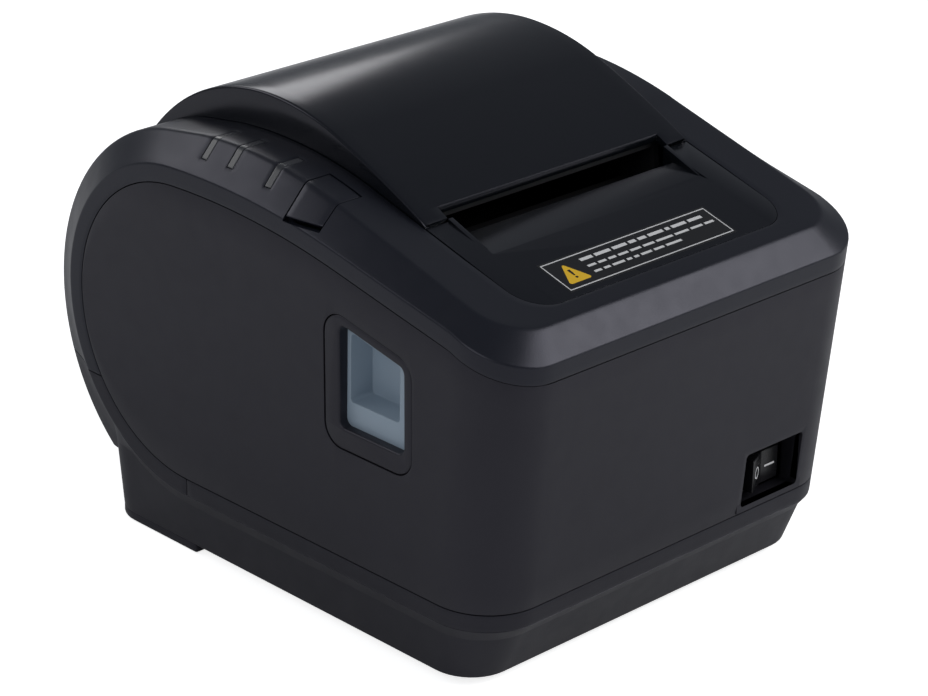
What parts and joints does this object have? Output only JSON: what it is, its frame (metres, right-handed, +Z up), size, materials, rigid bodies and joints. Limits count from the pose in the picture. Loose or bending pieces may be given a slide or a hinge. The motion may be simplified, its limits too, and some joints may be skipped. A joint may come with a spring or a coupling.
{
  "type": "receipt printer",
  "caption": "Desktop thermal receipt printer with a hinged rounded lid over a paper roll bay, a paper slot with cutter, an open lever, a feed button and a power rocker.",
  "frame": {"origin": "centre of the bounding box's bottom face, on the table", "axes": "+X to the printer's right seen from its front, +Y from the front to the back, +Z up"},
  "size_m": [0.1486, 0.1924, 0.1414],
  "materials": {
    "casing": "satin black moulded plastic with a fine grain",
    "shell": "satin blue-black moulded plastic",
    "gloss": "high-gloss black plastic",
    "lever": "pale blue-grey satin plastic",
    "inner_plastic": "matte black plastic",
    "label": "printed film with a white frame and a yellow triangle",
    "rubber": "matte black rubber",
    "steel": "ground steel",
    "zinc": "zinc-plated sheet steel",
    "aluminium": "extruded aluminium",
    "ceramic": "glazed ceramic",
    "board": "green solder mask",
    "nylon": "natural nylon",
    "clear": "smoked clear plastic"
  },
  "bodies": {
    "printer_body": {"base_tray": "casing", "foot_front_left": "rubber", "foot_front_right": "rubber", "foot_rear_left": "rubber", "foot_rear_right": "rubber", "case_screw_front_left": "zinc", "case_screw_front_right": "zinc", "case_screw_rear_left": "zinc", "case_screw_rear_right": "zinc", "body_shell": "casing", "top_shell": "shell", "status_light_rear": "clear", "status_light_middle": "clear", "status_light_front": "clear", "lever_bezel": "casing", "rocker_housing": "inner_plastic", "main_board": "board", "power_socket": "inner_plastic", "usb_socket": "zinc", "lan_socket": "zinc", "button_board": "board", "paper_bucket": "inner_plastic", "bucket_screw_left": "zinc", "bucket_screw_right": "zinc", "mechanism_frame": "zinc", "frame_screw_left": "zinc", "frame_screw_right": "zinc", "head_pivot_shaft": "steel", "feed_motor": "zinc", "paper_guide": "inner_plastic", "cutter_frame": "zinc", "cutter_motor": "zinc", "latch_spring": "steel", "head_spring_left": "steel", "head_spring_right": "steel", "hinge_pin_left": "steel", "hinge_pin_right": "steel"},
    "lid_body": {"lid": "gloss", "lid_liner": "inner_plastic", "fixed_blade": "steel", "platen_bushing_left": "inner_plastic", "platen_bushing_right": "inner_plastic"},
    "platen": {"platen_roller": "rubber", "platen_shaft": "steel", "platen_gear": "nylon"},
    "idler": {"idler_gear": "nylon"},
    "motor_rotor": {"motor_pinion": "nylon"},
    "latch": {"open_lever": "lever", "latch_shaft": "steel", "latch_arm_left": "zinc", "latch_arm_right": "zinc"},
    "cutter_door": {"cutter_cover": "gloss", "cover_label": "label"},
    "feed_key": {"feed_button": "shell"},
    "power_key": {"power_rocker": "inner_plastic"},
    "print_head": {"head_heatsink": "aluminium", "thermal_head": "ceramic"},
    "blade_slider": {"moving_blade": "steel"},
    "cutter_wheel": {"cutter_gear": "nylon"},
    "cutter_rotor": {"cutter_pinion": "nylon"}
  },
  "joints": [
    {"name": "lid_hinge", "type": "hinge", "parent": "printer_body", "child": "lid_body", "pos_m": [0, 0.0853, 0.0917], "axis": [-1, 0, 0], "range_deg": [0, 80]},
    {"name": "platen_spin", "type": "hinge", "parent": "lid_body", "child": "platen", "pos_m": [0, -0.0358, 0.094], "axis": [1, 0, 0], "continuous": true},
    {"name": "idler_spin", "type": "hinge", "parent": "printer_body", "child": "idler", "pos_m": [0, -0.04267, 0.07511], "axis": [1, 0, 0], "continuous": true},
    {"name": "motor_spin", "type": "hinge", "parent": "printer_body", "child": "motor_rotor", "pos_m": [0, -0.05668, 0.06566], "axis": [1, 0, 0], "continuous": true},
    {"name": "latch_release", "type": "hinge", "parent": "printer_body", "child": "latch", "pos_m": [0, -0.046, 0.034], "axis": [1, 0, 0], "range_deg": [0, 8], "stiffness_Nm_per_rad": 0.4},
    {"name": "cover_lift", "type": "slide", "parent": "printer_body", "child": "cutter_door", "axis": [0, 0, 1], "range_m": [0, 0.015]},
    {"name": "feed_press", "type": "slide", "parent": "printer_body", "child": "feed_key", "axis": [0.5, 0, -0.866], "range_m": [0, 0.0005], "stiffness_N_per_m": 400},
    {"name": "power_rock", "type": "hinge", "parent": "printer_body", "child": "power_key", "pos_m": [0.041, -0.0815, 0.0345], "axis": [0, 0, 1], "range_deg": [-25, 0]},
    {"name": "head_tilt", "type": "hinge", "parent": "printer_body", "child": "print_head", "pos_m": [0, -0.0451, 0.082], "axis": [1, 0, 0], "range_deg": [0, 1.5], "stiffness_Nm_per_rad": 0.5},
    {"name": "blade_slide", "type": "slide", "parent": "printer_body", "child": "blade_slider", "axis": [0, 1, 0], "range_m": [0, 0.0055]},
    {"name": "cutter_gear_turn", "type": "hinge", "parent": "printer_body", "child": "cutter_wheel", "pos_m": [-0.0177, -0.07, 0.1], "axis": [0, 0, 1], "range_deg": [0, 60]},
    {"name": "cutter_motor_turn", "type": "hinge", "parent": "printer_body", "child": "cutter_rotor", "pos_m": [-0.0024, -0.07, 0.094], "axis": [0, 0, 1], "range_deg": [-165, 0]}
  ],
  "couplings": [
    {"joint": "idler_spin", "follows": "platen_spin", "ratio": -0.66667},
    {"joint": "motor_spin", "follows": "platen_spin", "ratio": 1.6667},
    {"joint": "cutter_gear_turn", "follows": "blade_slide", "rad_per_m": 178.57},
    {"joint": "cutter_motor_turn", "follows": "blade_slide", "rad_per_m": -500}
  ]
}
